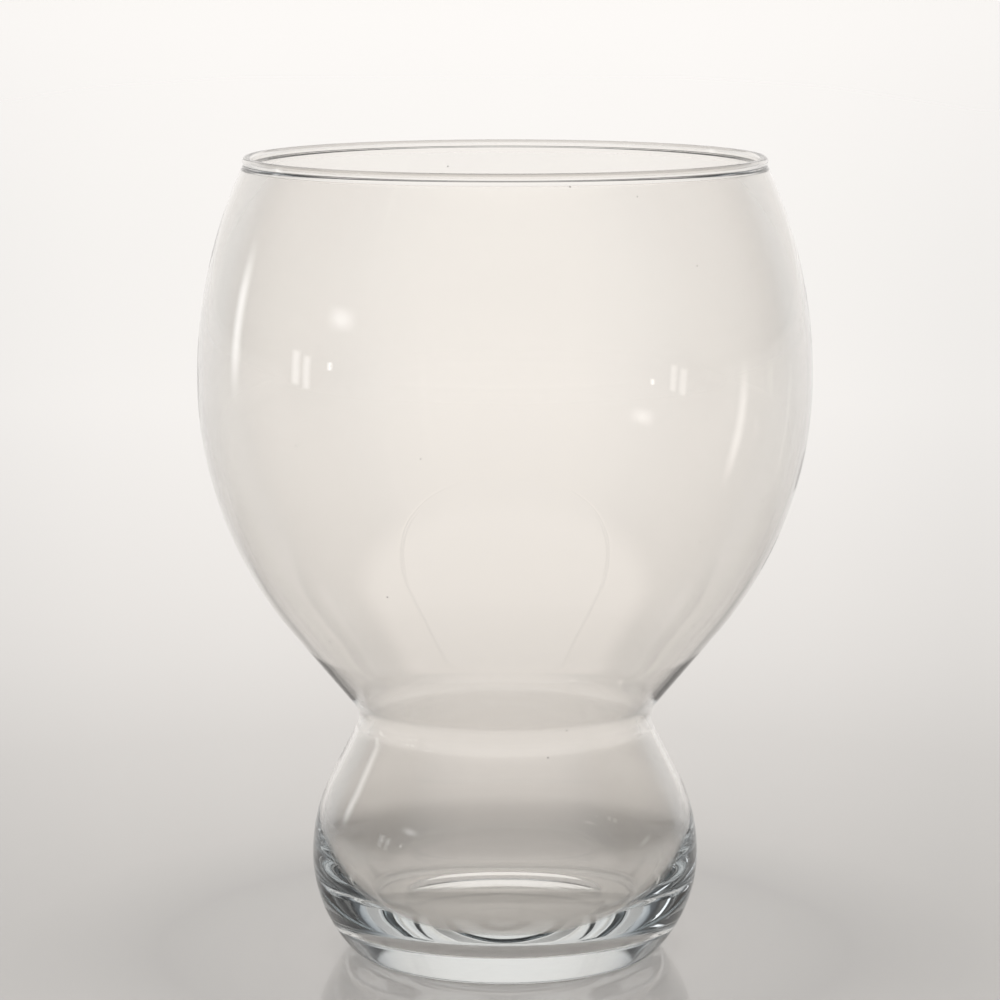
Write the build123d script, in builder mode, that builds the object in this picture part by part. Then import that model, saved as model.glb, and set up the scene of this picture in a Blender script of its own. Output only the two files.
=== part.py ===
from build123d import *
import math
import os

# Clear glass rose bowl vase: a round bowl on a smaller foot bulb with an open waist between them.
# Sizes in millimetres, +Z up, origin on the axis at the middle of the standing plane.

# Overall height and rim
height = 240.0
rim_diameter = 152.4
rim_wall = 1.9
rim_bead_diameter = 2.6

# Bowl: an arc above its widest line, a second arc below it, then a straight flank down to the waist
bowl_diameter = 183.0
bowl_widest_height = 174.0
bowl_lower_radius = 118.0
bowl_flank_angle = 39.5
bowl_wall = 1.7

# Foot bulb: a straight shoulder below the waist, an arc to its widest line, a second arc to the foot
bulb_diameter = 116.8
bulb_widest_height = 29.0
bulb_upper_radius = 52.5
bulb_shoulder_angle = 27.0
shoulder_wall = 1.6
bulb_thickening_angle = 16.0

# Waist: a round groove outside, and inside a throat that leans in a little more and ends in a rounded ridge
waist_groove_radius = 8.0
throat_rise = 21.0
throat_angle = 40.5
throat_fillet = 20.0
ridge_radius = 8.0
upper_joint_rise = 5.0
lower_joint_drop = 13.0

# Thick base: rounded heel, flat standing ring, hollow underside and a slightly domed inside floor
foot_diameter = 92.0
heel_radius = 6.0
standing_ring_width = 14.0
punt_height = 3.5
floor_height = 10.5
floor_diameter = 85.0
floor_corner_radius = 4.0
floor_dome = 1.5
base_joint_rise = 10.0


def on_circle(center, radius, degrees):
    """Point of a circle at an angle above the horizontal."""
    turn = math.radians(degrees)
    return (center[0] + radius * math.cos(turn), center[1] + radius * math.sin(turn))


def on_slope(point, degrees, level):
    """Point at a level on the straight line through a point that leans outward going up."""
    return (point[0] + (level - point[1]) * math.tan(math.radians(degrees)), level)


def crossing(point_a, degrees_a, point_b, degrees_b):
    """Where two leaning straight lines meet."""
    slope_a = math.tan(math.radians(degrees_a))
    slope_b = math.tan(math.radians(degrees_b))
    level = (point_b[0] - point_a[0] + slope_a * point_a[1] - slope_b * point_b[1]) / (slope_a - slope_b)
    return on_slope(point_a, degrees_a, level)


def on_arc(start, heading, end, level):
    """Point at a level on the arc that leaves start along a unit heading, turns inward and ends at end."""
    inward = (heading[1], -heading[0])
    reach = (end[0] - start[0], end[1] - start[1])
    radius = (reach[0] ** 2 + reach[1] ** 2) / (2 * (reach[0] * inward[0] + reach[1] * inward[1]))
    center = (start[0] + radius * inward[0], start[1] + radius * inward[1])
    return (center[0] + math.sqrt(radius ** 2 - (level - center[1]) ** 2), level)


up = (0, 1)
down = (0, -1)

# Rim: the wall ends in the chord of the round bead
bead_radius = rim_bead_diameter / 2
rim_joint_height = height - bead_radius - math.sqrt(bead_radius ** 2 - (rim_wall / 2) ** 2)
rim_outside = (rim_diameter / 2 + rim_wall / 2, rim_joint_height)
rim_inside = (rim_diameter / 2 - rim_wall / 2, rim_joint_height)
rim_top = (rim_diameter / 2, height)

# Bowl outline
bowl_widest_outside = (bowl_diameter / 2, bowl_widest_height)
bowl_widest_inside = (bowl_diameter / 2 - bowl_wall, bowl_widest_height)
bowl_center = (bowl_diameter / 2 - bowl_lower_radius, bowl_widest_height)
flank_outside = on_circle(bowl_center, bowl_lower_radius, -bowl_flank_angle)
flank_inside = on_circle(bowl_center, bowl_lower_radius - bowl_wall, -bowl_flank_angle)

# Foot bulb outline
bulb_widest_outside = (bulb_diameter / 2, bulb_widest_height)
bulb_center = (bulb_diameter / 2 - bulb_upper_radius, bulb_widest_height)
shoulder_outside = on_circle(bulb_center, bulb_upper_radius, bulb_shoulder_angle)
shoulder_inside = on_circle(bulb_center, bulb_upper_radius - shoulder_wall, bulb_shoulder_angle)
thickening = on_circle(bulb_center, bulb_upper_radius - shoulder_wall, bulb_thickening_angle)
thickening_turn = math.radians(bulb_thickening_angle)
thickening_down = (math.sin(thickening_turn), -math.cos(thickening_turn))
thickening_up = (-math.sin(thickening_turn), math.cos(thickening_turn))

# Waist corners before they are rounded, and the two joints of the waist
waist_corner = crossing(flank_outside, bowl_flank_angle, shoulder_outside, -bulb_shoulder_angle)
inner_corner = crossing(flank_inside, bowl_flank_angle, shoulder_inside, -bulb_shoulder_angle)
throat_corner = on_slope(flank_inside, bowl_flank_angle, waist_corner[1] + throat_rise)
ridge_corner = crossing(throat_corner, throat_angle, shoulder_inside, -bulb_shoulder_angle)
upper_joint_height = throat_corner[1] + upper_joint_rise
lower_joint_height = waist_corner[1] - lower_joint_drop
upper_joint = Plane.XY.offset(upper_joint_height)
lower_joint = Plane.XY.offset(lower_joint_height)

# Base corners before they are rounded, and its joint with the bulb
foot_corner = (foot_diameter / 2, 0)
ring_inside = (foot_diameter / 2 - standing_ring_width, 0)
punt_top = (0, punt_height)
floor_corner = (floor_diameter / 2, floor_height)
floor_top = (0, floor_height + floor_dome)
base_joint_height = floor_height + base_joint_rise
base_joint_outside = on_arc(bulb_widest_outside, down, foot_corner, base_joint_height)
base_joint_inside = on_arc(thickening, thickening_down, floor_corner, base_joint_height)

# Rim bead: the melted round lip that closes the bowl's wall
with BuildPart() as rim_bead:
    with BuildSketch(Plane.XZ):
        with BuildLine():
            Line(rim_inside, rim_outside)
            ThreePointArc(rim_outside, rim_top, rim_inside)
        make_face()
    revolve(axis=Axis.Z)
rim_bead.part.label = "rim_bead"

# Bowl: the thin blown wall from the rim down to the waist
with BuildPart() as bowl:
    with BuildSketch(Plane.XZ):
        with BuildLine():
            TangentArc(bowl_widest_outside, rim_outside, tangent=up)
            TangentArc(bowl_widest_outside, flank_outside, tangent=down)
            Line(flank_outside, waist_corner)
            Line(waist_corner, inner_corner)
            Line(inner_corner, flank_inside)
            TangentArc(bowl_widest_inside, flank_inside, tangent=down)
            TangentArc(bowl_widest_inside, rim_inside, tangent=up)
            Line(rim_inside, rim_outside)
        make_face()
    revolve(axis=Axis.Z)
    split(bisect_by=upper_joint, keep=Keep.TOP)
bowl.part.label = "bowl"

# Waist: the thick open ring between the bowl and the bulb, cut at its joints from the wall of both
with BuildPart() as waist:
    with BuildSketch(Plane.XZ) as waist_outline:
        with BuildLine():
            TangentArc(bowl_widest_outside, flank_outside, tangent=down)
            Polyline(flank_outside, waist_corner, shoulder_outside)
            TangentArc(bulb_widest_outside, shoulder_outside, tangent=up)
            Line(bulb_widest_outside, thickening)
            TangentArc(thickening, shoulder_inside, tangent=thickening_up)
            Polyline(shoulder_inside, inner_corner, flank_inside)
            TangentArc(bowl_widest_inside, flank_inside, tangent=down)
            Line(bowl_widest_inside, bowl_widest_outside)
        make_face()
        with BuildLine():
            Polyline(throat_corner, ridge_corner, inner_corner, close=True)
        make_face()
        fillet(waist_outline.vertices().sort_by_distance(waist_corner)[0], waist_groove_radius)
        fillet(waist_outline.vertices().sort_by_distance(ridge_corner)[0], ridge_radius)
        fillet(waist_outline.vertices().sort_by_distance(throat_corner)[0], throat_fillet)
    revolve(axis=Axis.Z)
    split(bisect_by=upper_joint, keep=Keep.BOTTOM)
    split(bisect_by=lower_joint, keep=Keep.TOP)
waist.part.label = "waist"

# Bulb: the foot's wall, which thickens going down to the base
with BuildPart() as bulb:
    with BuildSketch(Plane.XZ):
        with BuildLine():
            Line(inner_corner, waist_corner)
            Line(waist_corner, shoulder_outside)
            TangentArc(bulb_widest_outside, shoulder_outside, tangent=up)
            TangentArc(bulb_widest_outside, base_joint_outside, tangent=down)
            Line(base_joint_outside, base_joint_inside)
            TangentArc(thickening, base_joint_inside, tangent=thickening_down)
            TangentArc(thickening, shoulder_inside, tangent=thickening_up)
            Line(shoulder_inside, inner_corner)
        make_face()
    revolve(axis=Axis.Z)
    split(bisect_by=lower_joint, keep=Keep.BOTTOM)
bulb.part.label = "bulb"

# Base: the solid bottom with its heel, standing ring, hollow underside and inside floor
base_profile_outside = TangentArc(bulb_widest_outside, foot_corner, tangent=down)
base_profile_inside = TangentArc(thickening, floor_corner, tangent=thickening_down)
with BuildPart() as base:
    with BuildSketch(Plane.XZ) as base_outline:
        with BuildLine():
            Line(base_joint_inside, base_joint_outside)
            TangentArc(
                base_joint_outside,
                foot_corner,
                tangent=base_profile_outside % base_profile_outside.param_at_point(base_joint_outside),
            )
            Line(foot_corner, ring_inside)
            TangentArc(punt_top, ring_inside, tangent=(1, 0))
            Line(punt_top, floor_top)
            TangentArc(floor_top, floor_corner, tangent=(1, 0))
            TangentArc(
                base_joint_inside,
                floor_corner,
                tangent=base_profile_inside % base_profile_inside.param_at_point(base_joint_inside),
            )
        make_face()
        fillet(base_outline.vertices().sort_by_distance(foot_corner)[0], heel_radius)
        fillet(base_outline.vertices().sort_by_distance(floor_corner)[0], floor_corner_radius)
    revolve(axis=Axis.Z)
base.part.label = "base"

os.makedirs("parts", exist_ok=True)
export_step(rim_bead.part, "parts/rim_bead.step")
export_step(bowl.part, "parts/bowl.step")
export_step(waist.part, "parts/waist.step")
export_step(bulb.part, "parts/bulb.step")
export_step(base.part, "parts/base.step")
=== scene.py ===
# %% [markdown]
# A rose bowl vase is one piece of clear blown glass: a wide round bowl, an open waist and a small foot
# bulb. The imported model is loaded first, because it fixes the size, the place and the names of everything
# here.

# %% Load the frame
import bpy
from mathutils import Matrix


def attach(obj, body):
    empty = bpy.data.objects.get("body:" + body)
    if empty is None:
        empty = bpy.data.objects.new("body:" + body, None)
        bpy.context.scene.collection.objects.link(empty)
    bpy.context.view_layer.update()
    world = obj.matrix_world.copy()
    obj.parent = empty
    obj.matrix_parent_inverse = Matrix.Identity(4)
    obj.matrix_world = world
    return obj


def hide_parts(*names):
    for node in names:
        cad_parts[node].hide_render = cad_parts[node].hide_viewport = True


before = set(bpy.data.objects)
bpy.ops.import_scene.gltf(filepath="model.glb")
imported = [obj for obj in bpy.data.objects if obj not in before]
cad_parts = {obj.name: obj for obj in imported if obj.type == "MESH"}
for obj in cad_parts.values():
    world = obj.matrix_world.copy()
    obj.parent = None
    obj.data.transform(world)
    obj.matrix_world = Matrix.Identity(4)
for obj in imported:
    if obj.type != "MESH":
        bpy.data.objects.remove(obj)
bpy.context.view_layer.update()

# %% [markdown]
# The camera comes next, so that each later step can be judged in the picture. It looks slightly down from
# a little above the rim, through a long lens, as a product photographer would. Its place is in metres,
# its lens and film are in millimetres, and its tilt is in degrees. Clear glass sends a ray through many
# surfaces, so the rays are allowed more turns than usual.

# %% Camera
import math
import bmesh
import bpy

lens_length = 131.6
film_width = 36
picture_shift = -0.005
camera_distance = 1.0816
camera_height = 0.3114
camera_tilt = 9.163
most_turns = 32

scene = bpy.context.scene
scene.view_settings.view_transform = "Standard"
scene.cycles.max_bounces = most_turns
scene.cycles.transmission_bounces = most_turns
scene.cycles.glossy_bounces = most_turns


def link(name, data):
    """Put new data in the scene as an object that sits at the origin."""
    made = bpy.data.objects.new(name, data)
    scene.collection.objects.link(made)
    return made


lens = bpy.data.cameras.new("camera")
lens.lens = lens_length
lens.sensor_width = film_width
lens.shift_x = picture_shift
camera = link("camera", lens)
camera.location = (0, -camera_distance, camera_height)
camera.rotation_euler = (math.radians(90 - camera_tilt), 0, 0)
scene.camera = camera
print("camera stands", round(camera.location.length, 3), "m from the middle of the foot")

# %% [markdown]
# Finishes are small sums on shader sockets, such as a ramp of a noise. Written as nodes one by one, they
# are long. This class wraps a socket, so that plus, minus, times and divided by add Math nodes, and one
# method adds any other node.

# %% Shader sums


class Socket:
    """An output of a shader node that can be used in Python sums."""

    def __init__(self, tree, output=None):
        self.tree = tree
        self.output = output

    def node(self, kind, settings=None, inputs=None, give=0):
        """Add a node, make its settings, then set or link its inputs. Return one of its outputs."""
        made = self.tree.nodes.new(kind)
        for name, value in (settings or {}).items():
            if name == "stops":
                fill_ramp(made.color_ramp, value)
            else:
                setattr(made, name, value)
        for name, value in (inputs or {}).items():
            if isinstance(value, Socket):
                self.tree.links.new(value.output, made.inputs[name])
            else:
                made.inputs[name].default_value = value
        return Socket(self.tree, made.outputs[give] if made.outputs else None)

    def sum(self, operation, first, second):
        """Add a Math node of two values."""
        return self.node("ShaderNodeMath", {"operation": operation}, {0: first, 1: second})

    def __add__(self, other):
        return self.sum("ADD", self, other)

    __radd__ = __add__

    def __sub__(self, other):
        return self.sum("SUBTRACT", self, other)

    def __rsub__(self, other):
        return self.sum("SUBTRACT", other, self)

    def __mul__(self, other):
        return self.sum("MULTIPLY", self, other)

    __rmul__ = __mul__

    def __truediv__(self, other):
        return self.sum("DIVIDE", self, other)

    def __rtruediv__(self, other):
        return self.sum("DIVIDE", other, self)


def fill_ramp(ramp, stops):
    """Give a colour ramp its (position, colour) stops."""
    while len(ramp.elements) > 1:
        ramp.elements.remove(ramp.elements[-1])
    for number, (position, colour) in enumerate(stops):
        stop = ramp.elements[0] if number == 0 else ramp.elements.new(position)
        stop.position = position
        stop.color = (*colour, 1)


def new_shader(name):
    """A material without nodes, and a socket to start its sums from."""
    made = bpy.data.materials.new(name)
    made.use_nodes = True
    made.node_tree.nodes.clear()
    return made, Socket(made.node_tree)


print("shader sums ready")

# %% [markdown]
# These are the sizes of the glass from the rim down, in millimetres and degrees. A slope's angle is
# measured from the upright. The wall is thin in the bowl and grows towards the bottom, so that the vase
# stands firmly.

# %% Sizes of the glass
millimetre = 0.001
height = 240.0
rim_diameter = 152.4
rim_wall = 1.9
lip_radius = 1.3
bowl_diameter = 183.0
bowl_widest_height = 174.0
bowl_lower_radius = 118.0
bowl_wall = 1.7
flank_angle = 39.5
throat_rise = 21.0
throat_bend_radius = 20.0
throat_angle = 40.5
ridge_radius = 8.0
groove_radius = 8.0
shoulder_angle = 27.0
shoulder_wall = 1.6
bulb_upper_radius = 52.5
thickening_angle = 16.0
bulb_diameter = 116.8
bulb_widest_height = 29.0
bottom_height = 10.5
bottom_diameter = 85.0
bottom_dome = 1.5
bottom_corner_radius = 4.0
foot_diameter = 92.0
heel_radius = 6.0
standing_ring_width = 14.0
hollow_height = 3.5
print("glass", height, "mm tall and", bowl_diameter, "mm wide")

# %% [markdown]
# At the waist, the straight flank of the bowl meets the straight shoulder of the bulb, in a round groove
# outside and a round ridge inside. Above the ridge, the throat leans in a little more than the flank
# does. So the corners come first, where these straights would meet, and each bend then takes a little off
# the straights beside it.

# %% Corners of the waist


def on_circle(middle, radius, degrees):
    """Point of a circle at an angle above the horizontal."""
    angle = math.radians(degrees)
    return (middle[0] + radius * math.cos(angle), middle[1] + radius * math.sin(angle))


def on_slope(point, degrees, level):
    """Point at a level on the straight line through a point that leans outward going up."""
    return (point[0] + (level - point[1]) * math.tan(math.radians(degrees)), level)


def crossing(point_a, degrees_a, point_b, degrees_b):
    """Where two leaning straight lines meet."""
    slope_a = math.tan(math.radians(degrees_a))
    slope_b = math.tan(math.radians(degrees_b))
    level = (point_b[0] - point_a[0] + slope_a * point_a[1] - slope_b * point_b[1]) / (slope_a - slope_b)
    return on_slope(point_a, degrees_a, level)


def straight(start, end, *bends):
    """Length of a straight between two corners, less what the (radius, turn) bends at its ends take."""
    taken = sum(radius * math.tan(math.radians(turn) / 2) for radius, turn in bends)
    return math.dist(start, end) - taken


bowl_circle = (bowl_diameter / 2 - bowl_lower_radius, bowl_widest_height)
flank_outside = on_circle(bowl_circle, bowl_lower_radius, -flank_angle)
flank_inside = on_circle(bowl_circle, bowl_lower_radius - bowl_wall, -flank_angle)
bulb_circle = (bulb_diameter / 2 - bulb_upper_radius, bulb_widest_height)
shoulder_outside = on_circle(bulb_circle, bulb_upper_radius, shoulder_angle)
shoulder_inside = on_circle(bulb_circle, bulb_upper_radius - shoulder_wall, shoulder_angle)
groove_corner = crossing(flank_outside, flank_angle, shoulder_outside, -shoulder_angle)
throat_corner = on_slope(flank_inside, flank_angle, groove_corner[1] + throat_rise)
ridge_corner = crossing(throat_corner, throat_angle, shoulder_inside, -shoulder_angle)
groove = (groove_radius, flank_angle + shoulder_angle)
ridge = (ridge_radius, throat_angle + shoulder_angle)
throat_bend = (throat_bend_radius, throat_angle - flank_angle)
print("waist at a height of", round(groove_corner[1], 1), "mm")

# %% [markdown]
# The other curves of hot glass are arcs too. Each sets out along a straight line and swells away from it,
# and how far it swells over its length gives its radius. The lip is a bead, round but for the part that
# joins the wall. The heel and the corner of the bottom are small arcs that touch the curves on both sides
# of them.

# %% Arcs of the rim and the foot


def swelling(bulge, length):
    """Radius and turn of an arc that leaves a straight line by a bulge over a length."""
    radius = (bulge ** 2 + length ** 2) / (2 * bulge)
    return radius, math.degrees(math.asin(length / radius))


lip_join_angle = math.degrees(math.acos(rim_wall / 2 / lip_radius))
lip_depth = lip_radius * (1 + math.sin(math.radians(lip_join_angle)))
upper_rise = height - lip_depth - bowl_widest_height
narrowing = (bowl_diameter - rim_diameter) / 2
upper_outside_radius, upper_outside_turn = swelling(narrowing - rim_wall / 2, upper_rise)
upper_inside_radius, upper_inside_turn = swelling(narrowing + rim_wall / 2 - bowl_wall, upper_rise)

ring_inside = foot_diameter / 2 - standing_ring_width
underside_radius, underside_turn = swelling(hollow_height, ring_inside)
bulb_lower_radius, _ = swelling((bulb_diameter - foot_diameter) / 2, bulb_widest_height)
heel_reach = bulb_lower_radius - heel_radius
bulb_lower_turn = math.degrees(math.asin((bulb_widest_height - heel_radius) / heel_reach))
bulb_lower_circle = (bulb_diameter / 2 - bulb_lower_radius, bulb_widest_height)
heel_middle = on_circle(bulb_lower_circle, heel_reach, -bulb_lower_turn)
print("standing ring from", ring_inside, "to", round(heel_middle[0], 1), "mm from the axis")

# %% [markdown]
# Inside, the wall of the bulb starts to thicken above the bulb's widest line and runs in one arc to the
# bottom, which is a very flat dome. The corner between them is rounded by a small circle that touches
# both arcs. That fixes how far its middle is from the middles of the two arcs, so it is the third corner
# of a known triangle.

# %% Corner of the bottom
thickening = on_circle(bulb_circle, bulb_upper_radius - shoulder_wall, thickening_angle)
lean = math.radians(thickening_angle)
inwards = thickening[0] - bottom_diameter / 2
downwards = thickening[1] - bottom_height
bulb_inside_bulge = inwards * math.cos(lean) + downwards * math.sin(lean)
bulb_inside_length = downwards * math.cos(lean) - inwards * math.sin(lean)
bulb_inside_radius, _ = swelling(bulb_inside_bulge, bulb_inside_length)
bulb_inside_circle = on_circle(thickening, -bulb_inside_radius, thickening_angle)
bottom_radius, _ = swelling(bottom_dome, bottom_diameter / 2)
bottom_circle = (0, bottom_height + bottom_dome - bottom_radius)

wall_side = bulb_inside_radius - bottom_corner_radius
bottom_side = bottom_radius + bottom_corner_radius
long_side = math.dist(bulb_inside_circle, bottom_circle)
towards_bottom = math.atan2(bottom_circle[1] - bulb_inside_circle[1], -bulb_inside_circle[0])
swing = math.acos((wall_side ** 2 + long_side ** 2 - bottom_side ** 2) / (2 * wall_side * long_side))
corner_angle = math.degrees(towards_bottom + swing)
corner_middle = on_circle(bulb_inside_circle, wall_side, corner_angle)
bottom_turn = math.degrees(math.atan2(corner_middle[0], corner_middle[1] - bottom_circle[1]))
print("corner of the bottom", round(corner_middle[0], 1), "mm from the axis")

# %% [markdown]
# The vase is round, so its glass is one closed outline turned once about the axis. The outline runs from
# the middle of the underside, out over the foot, up the outside, over the lip and down the inside to the
# middle of the bottom. It is a list of arcs and straights that follow one another. Each arc is its radius
# and its turn, to the left if positive. A straight has a length, and a crease only turns.

# %% The outline of the glass
outline = [
    ("underside", underside_radius, -underside_turn),
    ("crease", 0, underside_turn),
    ("standing ring", heel_middle[0] - ring_inside, 0),
    ("heel", heel_radius, 90 - bulb_lower_turn),
    ("bulb below its widest line", bulb_lower_radius, bulb_lower_turn),
    ("bulb above its widest line", bulb_upper_radius, shoulder_angle),
    ("shoulder", straight(shoulder_outside, groove_corner, groove), 0),
    ("waist groove", groove_radius, -groove[1]),
    ("flank", straight(groove_corner, flank_outside, groove), 0),
    ("bowl below its widest line", bowl_lower_radius, flank_angle),
    ("bowl above its widest line", upper_outside_radius, upper_outside_turn),
    ("crease", 0, -upper_outside_turn - lip_join_angle),
    ("lip", lip_radius, 180 + 2 * lip_join_angle),
    ("crease", 0, upper_inside_turn - lip_join_angle),
    ("inside of the bowl, upper", upper_inside_radius, -upper_inside_turn),
    ("inside of the bowl, lower", bowl_lower_radius - bowl_wall, -flank_angle),
    ("inside of the flank", straight(flank_inside, throat_corner, throat_bend), 0),
    ("bend to the throat", throat_bend_radius, -throat_bend[1]),
    ("throat", straight(throat_corner, ridge_corner, throat_bend, ridge), 0),
    ("ridge", ridge_radius, ridge[1]),
    ("inside of the shoulder", straight(ridge_corner, shoulder_inside, ridge), 0),
    ("inside of the bulb, upper", bulb_upper_radius - shoulder_wall, thickening_angle - shoulder_angle),
    ("inside of the bulb, lower", bulb_inside_radius, corner_angle - thickening_angle),
    ("corner of the bottom", bottom_corner_radius, -90 - corner_angle - bottom_turn),
    ("bottom", bottom_radius, bottom_turn),
]
longest_step = 1.8 * millimetre
widest_turn = math.radians(7)


def draw_outline(mesh):
    """Draw the outline in the XZ plane, by extruding and spinning its last vertex."""
    tip = mesh.verts.new((0, 0, hollow_height * millimetre))
    heading = 0.0
    for _, size, degrees in outline:
        turn = math.radians(degrees)
        size *= millimetre
        if size and not turn:
            steps = math.ceil(size / longest_step)
            for _ in range(steps):
                grown = bmesh.ops.extrude_vert_indiv(mesh, verts=[tip])["verts"]
                move = (math.cos(heading) * size / steps, 0, math.sin(heading) * size / steps)
                bmesh.ops.translate(mesh, verts=grown, vec=move)
                tip = grown[0]
        elif size:
            side = math.copysign(size, turn)
            middle = (tip.co.x - math.sin(heading) * side, 0, tip.co.z + math.cos(heading) * side)
            steps = math.ceil(max(size * abs(turn) / longest_step, abs(turn) / widest_turn))
            spun = bmesh.ops.spin(mesh, geom=[tip], cent=middle, axis=(0, -1, 0), angle=turn, steps=steps)
            tip = next(part for part in spun["geom_last"] if isinstance(part, bmesh.types.BMVert))
        heading += turn
    return tip


glass_mesh = bmesh.new()
tip = draw_outline(glass_mesh)
outline_points = len(glass_mesh.verts)
print("outline of", outline_points, "points ends at", [round(value / millimetre, 3) for value in tip.co])

# %% [markdown]
# One full spin makes the wall. A Screw modifier could turn the outline too, but a spin leaves a finished
# mesh. The two ends of the outline lie on the axis, where their copies are merged to poles. The steps are
# fine, because a flat facet that would pass on a solid shows as a line in clear glass.

# %% Spin the glass
steps_around = 240
axis_slack = 0.01 * millimetre
merging_distance = 0.001 * millimetre
for vertex in glass_mesh.verts:
    if abs(vertex.co.x) < axis_slack:
        vertex.co.x = 0
bmesh.ops.spin(
    glass_mesh,
    geom=glass_mesh.verts[:] + glass_mesh.edges[:],
    cent=(0, 0, 0),
    axis=(0, 0, 1),
    angle=math.tau,
    steps=steps_around,
    use_merge=True,
)
bmesh.ops.remove_doubles(glass_mesh, verts=glass_mesh.verts, dist=merging_distance)
bmesh.ops.recalc_face_normals(glass_mesh, faces=glass_mesh.faces)
for face in glass_mesh.faces:
    face.smooth = True
open_edges = sum(not edge.is_manifold for edge in glass_mesh.edges)
triangles = sum(len(face.verts) - 2 for face in glass_mesh.faces)
volume = glass_mesh.calc_volume() / (10 * millimetre) ** 3
print("glass has", triangles, "triangles,", open_edges, "open edges and", round(volume, 2), "cm3")
vase_data = bpy.data.meshes.new("vase_glass")
glass_mesh.to_mesh(vase_data)
glass_mesh.free()
vase = link("vase_glass", vase_data)
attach(vase, "root")
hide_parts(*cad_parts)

# %% [markdown]
# Blown glass is clear but never perfect. Its skin has slow waves from the cooling, a few faint smears,
# and here and there a speck. The waves are a bump, the smears are a little roughness, and the specks are
# dark dots in the middle of scattered cells. The colour of the glass itself only shows where the wall is
# thick, so it is a plain absorption. The Glass shader could draw a perfect skin, but the Principled shader
# takes all of these, and other programs can read it.

# %% Clear glass
waves_per_metre = 38.0
wave_height = 0.8 * millimetre
wave_strength = 0.06
cells_per_metre = 55.0
smears_per_metre = 14.0
smear_begins = 0.62
smear_ends = 0.8
roughest_smear = 0.02
glass_index = 1.52
thick_glass = (0.82, 0.86, 0.88, 1)
thick_glass_density = 12.0
speck_colours = [(0.0, (0.12, 0.11, 0.11)), (0.012, (0.3, 0.29, 0.29)), (0.02, (0.995, 0.98, 0.96))]


def ramp(along, stops):
    """The colour of a ramp of (position, colour) stops, read at a value."""
    return along.node("ShaderNodeValToRGB", {"stops": stops}, {"Fac": along}, "Color")


glass, start = new_shader("blown_glass")
place = start.node("ShaderNodeTexCoord", give="Object")
slow_waves = start.node(
    "ShaderNodeTexNoise",
    inputs={"Vector": place, "Scale": waves_per_metre, "Detail": 1.0, "Roughness": 0.4},
)
skin = start.node(
    "ShaderNodeBump",
    inputs={"Height": slow_waves, "Strength": wave_strength, "Distance": wave_height},
    give="Normal",
)
from_cell_middle = start.node(
    "ShaderNodeTexVoronoi",
    {"feature": "F1"},
    {"Vector": place, "Scale": cells_per_metre, "Randomness": 1.0},
    "Distance",
)
smear_noise = start.node(
    "ShaderNodeTexNoise",
    inputs={"Vector": place, "Scale": smears_per_metre, "Detail": 4.0, "Roughness": 0.6},
)
smears = start.node(
    "ShaderNodeMapRange",
    inputs={
        "Value": smear_noise,
        "From Min": smear_begins,
        "From Max": smear_ends,
        "To Min": 0.0,
        "To Max": roughest_smear,
    },
)
surface = start.node(
    "ShaderNodeBsdfPrincipled",
    inputs={
        "Base Color": ramp(from_cell_middle, speck_colours),
        "Roughness": smears,
        "Normal": skin,
        "IOR": glass_index,
        "Transmission Weight": 1.0,
    },
)
thickness = start.node(
    "ShaderNodeVolumeAbsorption",
    inputs={"Color": thick_glass, "Density": thick_glass_density},
)
start.node("ShaderNodeOutputMaterial", inputs={"Surface": surface, "Volume": thickness})
vase_data.materials.append(glass)
print("glass finish", len(glass.node_tree.nodes), "nodes")

# %% [markdown]
# The vase stands on a pale floor with painted light and shade; it is slightly polished and so shows a
# reflection of the foot.
# The floor is a wide disc, and it lies a hair below the foot, so that the two never share a plane. From
# here on, lengths are in metres.

# %% Floor
floor_radius = 12
floor_sides = 96
floor_gap = 0.2 * millimetre
floor_mesh = bmesh.new()
bmesh.ops.create_circle(floor_mesh, cap_ends=True, segments=floor_sides, radius=floor_radius)
bmesh.ops.translate(floor_mesh, verts=floor_mesh.verts, vec=(0, 0, -floor_gap))
floor_data = bpy.data.meshes.new("floor")
floor_mesh.to_mesh(floor_data)
floor_mesh.free()
floor = link("floor", floor_data)
print("floor", 2 * floor_radius, "m across")

# %% [markdown]
# Clear glass is drawn by what lies around it. Photographers light such glass from behind and keep the
# sides dim, so that its edges, which bend the view sideways, turn grey. So light and shade are painted on
# the floor: a painted pool of white light under the foot, a painted shadow in a greyer ring round it, and
# white again far behind. A painted falloff dims it slightly to both sides, as light does that comes from
# behind in a fan. In front it is one plain grey of painted shade. The shades are written as picture values
# from 0 to 255, with how warm they are.

# %% Painted light and shade of the floor


def level(value):
    """The light that a picture value from 0 to 255 stands for, by the standard curve of screens."""
    value /= 255
    return ((value + 0.055) / 1.055) ** 2.4


def pale(value, warm):
    """A grey of a picture value with a warm tint, or a cold one if warm is negative."""
    grey = level(value)
    return (grey, grey * (1 - warm), grey * (1 - 2 * warm))


def cool(share):
    """A share of the light, slightly bluer the less it is."""
    tint = bluest_tint * (1 - share)
    return (share - tint, share, share + tint)


bluest_tint = 0.03
nearest = 0.04
farthest = 8.0
# Painted light by distance: a pool of light under the foot, a shadow ring round it, white far away.
floor_painted_light = [
    (nearest, 254, 0.01),
    (0.052, 216, 0.03),
    (0.07, 199, 0.03),
    (0.105, 184, 0.03),
    (0.155, 199, 0.035),
    (0.3, 208, 0.035),
    (0.6, 230, 0.03),
    (1.3, 246, 0.02),
    (farthest, 254, 0.005),
]
# A painted falloff of light: the floor's colour dims to both sides of a fan that opens towards the back.
fan_start = 1.08
fan_lean = 0.012
shortest_fan = 0.1
widest_slope = 1.2
painted_fan_falloff = [(0.06, 1.0), (0.10, 0.96), (0.14, 0.87), (0.25, 0.79), (0.6, 0.84), (widest_slope, 0.95)]
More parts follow.
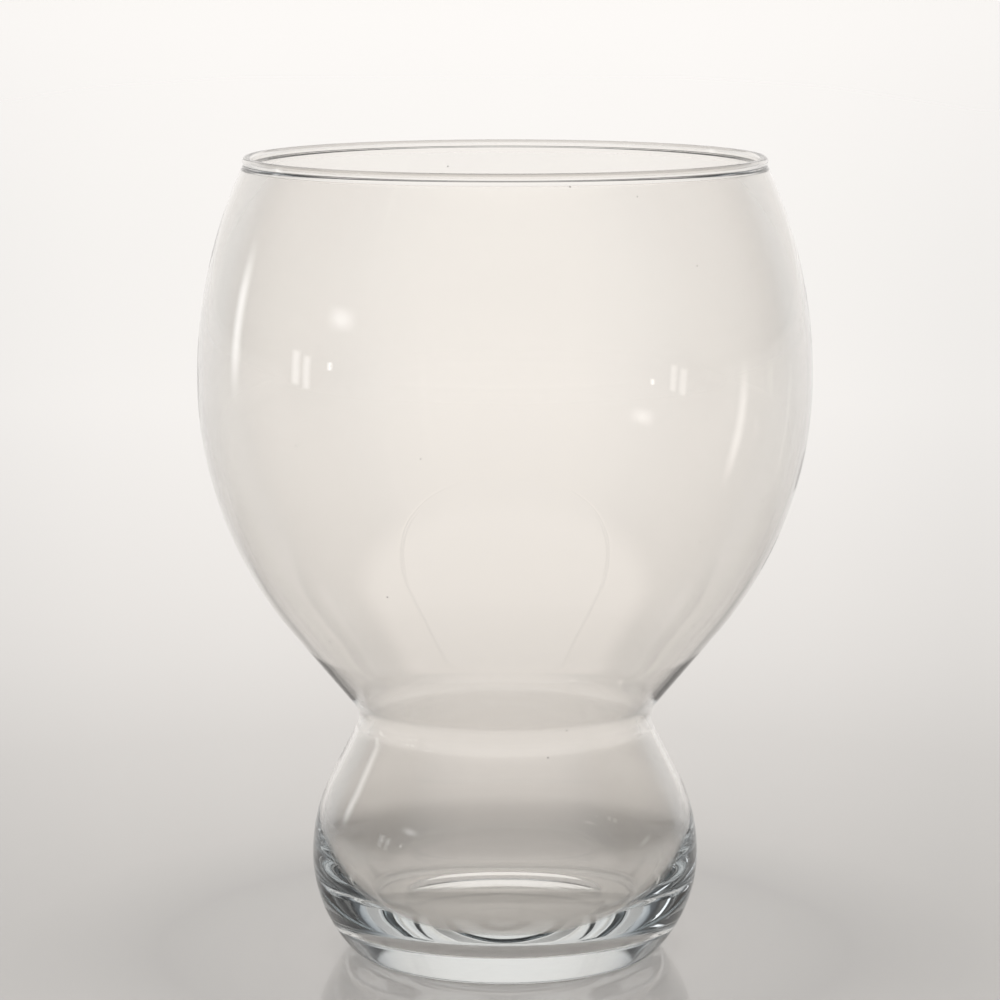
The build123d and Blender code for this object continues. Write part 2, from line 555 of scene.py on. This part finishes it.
# Painted shade: one darker grey on the floor in front of the vase.
painted_front_shade = (*pale(205, 0.03), 1)
front_begins = 0.02
front_ends = 0.3
floor_roughness = 0.06
floor_index = 1.4
print("floor of", len(floor_painted_light), "shades")

# %% [markdown]
# The paint of the floor reads the distance from the axis on a scale of powers, because the painted light
# and shadow change fast near the foot and slowly far away. The painted fan of light has its tip in front of
# the vase and opens towards the back, so the painted dimming follows the slope of a line from that tip: the
# way to the side divided by the way along the fan.

# %% Paint of the floor


def along_ramp(distance):
    """Where a distance lies between the nearest and the farthest, on a scale of powers."""
    return math.log(distance / nearest) / math.log(farthest / nearest)


def smooth_step(value, begins, ends):
    """A smooth rise from 0 to 1, while a value goes from one limit to the other."""
    limits = {"Value": value, "From Min": begins, "From Max": ends}
    return value.node("ShaderNodeMapRange", {"interpolation_type": "SMOOTHSTEP"}, limits)


def mix(share, first, second, kind="MIX"):
    """Two colours in one, with a share of the second."""
    settings = {"data_type": "RGBA", "blend_type": kind}
    return first.node("ShaderNodeMix", settings, {0: share, 6: first, 7: second}, 2)


def parts(vector, axes):
    """The parts of a vector along some of its axes."""
    return [vector.node("ShaderNodeSeparateXYZ", inputs={"Vector": vector}, give=axis) for axis in axes]


paint, start = new_shader("floor_paint")
place = start.node("ShaderNodeTexCoord", give="Object")
distance = start.node("ShaderNodeVectorMath", {"operation": "LENGTH"}, {0: place}, "Value")
power = start.sum("LOGARITHM", distance * (1 / nearest), farthest / nearest)
painted_light_stops = [(along_ramp(reach), pale(value, warm)) for reach, value, warm in floor_painted_light]
# The painted pool of light and shadow ring of the floor, read at the distance from the axis.
shade = ramp(power, painted_light_stops)
sideways, backwards = parts(place, "XY")
along_fan = start.sum("MAXIMUM", backwards + fan_start, shortest_fan)
slope = sideways / along_fan + fan_lean
fan = start.sum("MAXIMUM", slope, 0 - slope)
# The painted falloff of light to both sides, multiplied into the floor's colour.
dimming_stops = [(reach / widest_slope, cool(share)) for reach, share in painted_fan_falloff]
dimming = ramp(fan * (1 / widest_slope), dimming_stops)
dimmed = mix(1.0, shade, dimming, "MULTIPLY")
# The painted grey shade takes over the floor in front of the vase.
in_front = smooth_step(0 - backwards, front_begins, front_ends)
surface = start.node(
    "ShaderNodeBsdfPrincipled",
    inputs={
        "Base Color": mix(in_front, dimmed, painted_front_shade),
        "Roughness": floor_roughness,
        "IOR": floor_index,
    },
)
start.node("ShaderNodeOutputMaterial", inputs={"Surface": surface})
floor_data.materials.append(paint)
print("floor paint", len(paint.node_tree.nodes), "nodes")

# %% [markdown]
# Soft light comes evenly from all round, also where it reaches the floor through the glass. What the
# glass shows is another matter: pale walls behind and in front, dark ones at the sides, which the thick
# base gathers, and white overhead. So the shade follows the angle in degrees from straight behind. A dark
# strip runs along the wall behind, a little higher than the rim: the lip bends the view up to it, and so
# it is drawn as a dark line. The strip begins and ends softly, and so does the white overhead, between two
# heights that are given as the sine of the angle of sight.

# %% Shades of the studio
side_shades = [
    (64, 20, -0.3),
    (102, 20, -0.3),
    (116, 110, -0.1),
    (132, 185, 0.0),
    (152, 220, 0.03),
    (180, 220, 0.03),
]
back_shades = [
    (0, 250, 0.03),
    (12, 247, 0.03),
    (25, 232, 0.03),
    (36, 215, 0.0),
    (46, 180, -0.05),
    (56, 90, -0.15),
]
strip_shades = [(0, 40, -0.1), (36, 50, -0.1), (50, 100, -0.1)]
overhead_shade = (*pale(255, 0.03), 1)
even_shade = (1.0, 0.99, 0.98, 1)
strip_begins = (0.31, 0.36)
strip_ends = (0.42, 0.48)
overhead_begins = (0.62, 0.75)
print("studio of", len(back_shades) + len(side_shades), "shades")

# %% [markdown]
# The studio is the world's background. Real panels could stand round the vase instead, but they would have
# edges and throw shadows. Rays from the camera, and rays that the glass or the polish sends on, see the
# walls. Rays that light a matt surface, and all that follow them, see the even light.

# %% Studio round the vase
world = bpy.data.worlds.new("studio")
scene.world = world
world.use_nodes = True
world.node_tree.nodes.clear()
start = Socket(world.node_tree)
direction = start.node("ShaderNodeTexCoord", give="Generated")
sideways, backwards, upwards = parts(direction, "XYZ")
angle = start.sum("ARCTAN2", start.sum("MAXIMUM", sideways, 0 - sideways), backwards)
wall, strip = (
    ramp(angle * (1 / math.pi), [(degrees / 180, pale(value, warm)) for degrees, value, warm in shades])
    for shades in (back_shades + side_shades, strip_shades + side_shades)
)
seen = wall
for upper, rise in ((strip, strip_begins), (wall, strip_ends), (overhead_shade, overhead_begins)):
    seen = mix(smooth_step(upwards, *rise), seen, upper)
looking = start.node("ShaderNodeLightPath", give="Is Camera Ray")
for kind in ("Is Glossy Ray", "Is Transmission Ray"):
    looking = start.sum("MAXIMUM", looking, start.node("ShaderNodeLightPath", give=kind))
looking = start.sum("GREATER_THAN", looking, start.node("ShaderNodeLightPath", give="Diffuse Depth"))
even = start.node("ShaderNodeBackground", inputs={"Color": even_shade, "Strength": 1.0})
shown = start.node("ShaderNodeBackground", inputs={"Color": seen, "Strength": 1.0})
mixed = start.node("ShaderNodeMixShader", inputs={0: looking, 1: even, 2: shown})
start.node("ShaderNodeOutputWorld", inputs={"Surface": mixed})
print("studio", len(world.node_tree.nodes), "nodes")

# %% [markdown]
# A few soft lamps on the left draw the white streaks and spots that tell the eye that this is glass. The
# convex front of the bowl shows each of them once, and its hollow back shows them again, upside down, on
# the other side. A lamp's face fades out towards its edges, as the cloth of a soft box does. The lamps
# shine on the glass alone, because the polished floor would mirror them. They stand in a ring round the
# vase, each at an angle in degrees from straight behind, to the left if negative, and at a rise in
# degrees above the middle of the bowl.

# %% Lamps
lamp_distance = 0.9
bowl_middle = 0.17
lamp_colour = (0.96, 0.98, 1.0, 1)
lit_by_lamps = bpy.data.collections.new("lit_by_lamps")
lit_by_lamps.objects.link(vase)


def soft_lamp(name, angle, rise, size, strength, softness):
    """A rectangular lamp that faces the axis, as bright as its strength, with edges that fade."""
    data = bpy.data.lights.new(name, "AREA")
    data.shape = "RECTANGLE"
    data.size, data.size_y = size
    data.energy = strength * math.pi * size[0] * size[1]
    data.use_nodes = True
    data.node_tree.nodes.clear()
    start = Socket(data.node_tree)
    face = start.node("ShaderNodeNewGeometry", give="Parametric")
    fade = 1.0
    for along in parts(face, "XY"):
        from_edge = start.sum("MINIMUM", along, 1 - along)
        fade = fade * smooth_step(from_edge, 0.0, softness / 2)
    glow = start.node("ShaderNodeEmission", inputs={"Color": lamp_colour, "Strength": fade})
    start.node("ShaderNodeOutputLight", inputs={"Surface": glow})
    lamp = link(name, data)
    lamp.location = (
        lamp_distance * math.sin(math.radians(angle)),
        lamp_distance * math.cos(math.radians(angle)),
        bowl_middle + lamp_distance * math.tan(math.radians(rise)),
    )
    lamp.rotation_euler = (math.radians(90), 0, math.radians(180 - angle))
    lamp.light_linking.receiver_collection = lit_by_lamps


soft_lamp("left_strip", angle=-66, rise=4.0, size=(0.12, 0.38), strength=1.6, softness=0.8)
soft_lamp("left_pane", angle=-101, rise=0.5, size=(0.06, 0.11), strength=1.5, softness=0.3)
soft_lamp("right_pane", angle=-106, rise=0.0, size=(0.05, 0.11), strength=1.5, softness=0.3)
soft_lamp("small_lamp", angle=-116, rise=1.9, size=(0.03, 0.03), strength=4.0, softness=0.5)
soft_lamp("high_lamp", angle=-119, rise=11.5, size=(0.24, 0.10), strength=2.0, softness=1.0)
